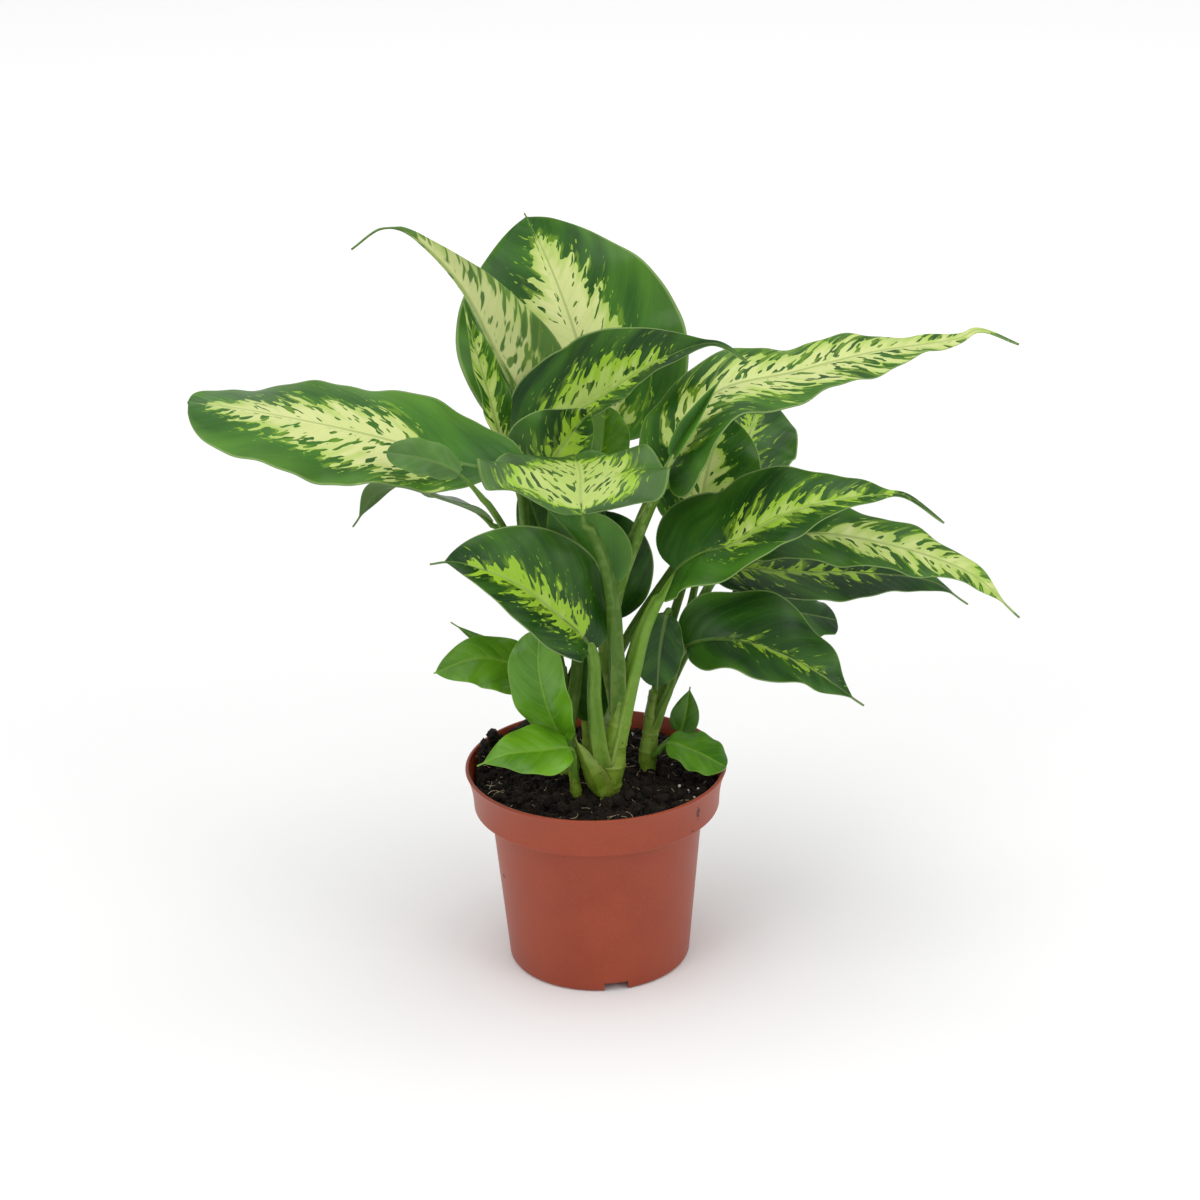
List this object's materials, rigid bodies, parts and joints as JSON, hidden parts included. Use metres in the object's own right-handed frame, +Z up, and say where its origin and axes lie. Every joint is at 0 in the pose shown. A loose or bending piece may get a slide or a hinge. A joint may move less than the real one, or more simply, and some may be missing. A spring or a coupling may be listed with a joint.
{
  "type": "potted dieffenbachia",
  "caption": "Leafy house plant with broad, cream and green variegated, drip-tipped leaves on short canes, standing in soil in a round plastic nursery pot.",
  "frame": {"origin": "on the pot's axis, at the surface that the pot stands on, in the middle of the flat boss under its floor", "axes": "+Z up along the pot's axis; +X to the right as seen from the front; -Y towards the front, where the picture's viewer stands"},
  "size_m": [0.3611, 0.1764, 0.3373],
  "materials": {
    "pot_plastic": "thin moulded terracotta-coloured plastic, satin, faintly mottled, with fine scuffs",
    "soil": "moist dark potting peat with crumbs, fibres and a few pale grains",
    "cane": "smooth fleshy green stem with darker rings and brown flecks near the soil",
    "variegated_leaf": "waxy green leaf with a cream to yellow-green feathered centre and darker islands, paler below",
    "young_leaf": "waxy plain mid-green young leaf, paler below"
  },
  "bodies": {
    "root": {"pot": "pot_plastic", "soil": "soil", "cane_front": "cane", "cane_left": "cane", "cane_back": "cane", "cane_right": "cane", "cane_young": "cane", "leaf_left_broad": "variegated_leaf", "leaf_left_small": "variegated_leaf", "leaf_left_droop": "variegated_leaf", "leaf_upper_left": "variegated_leaf", "leaf_upper_narrow": "variegated_leaf", "leaf_top": "variegated_leaf", "leaf_upper_mid": "variegated_leaf", "leaf_mid_back": "variegated_leaf", "leaf_mid_young": "young_leaf", "leaf_centre": "variegated_leaf", "leaf_right_long": "variegated_leaf", "leaf_spear": "young_leaf", "leaf_right_upright": "variegated_leaf", "leaf_right_back": "variegated_leaf", "leaf_right_front": "variegated_leaf", "leaf_right_droop": "variegated_leaf", "leaf_right_shade": "variegated_leaf", "leaf_right_blunt": "variegated_leaf", "leaf_right_low": "variegated_leaf", "leaf_right_hang": "variegated_leaf", "leaf_low_upright": "young_leaf", "leaf_low_right": "young_leaf", "leaf_front_left": "variegated_leaf", "leaf_under_centre": "variegated_leaf", "leaf_inner_back": "variegated_leaf", "leaf_inner_left": "variegated_leaf", "leaf_inner_low": "variegated_leaf", "leaf_low_left": "young_leaf", "leaf_low_drip": "young_leaf", "leaf_low_twist": "young_leaf", "leaf_low_front": "young_leaf"}
  },
  "joints": []
}
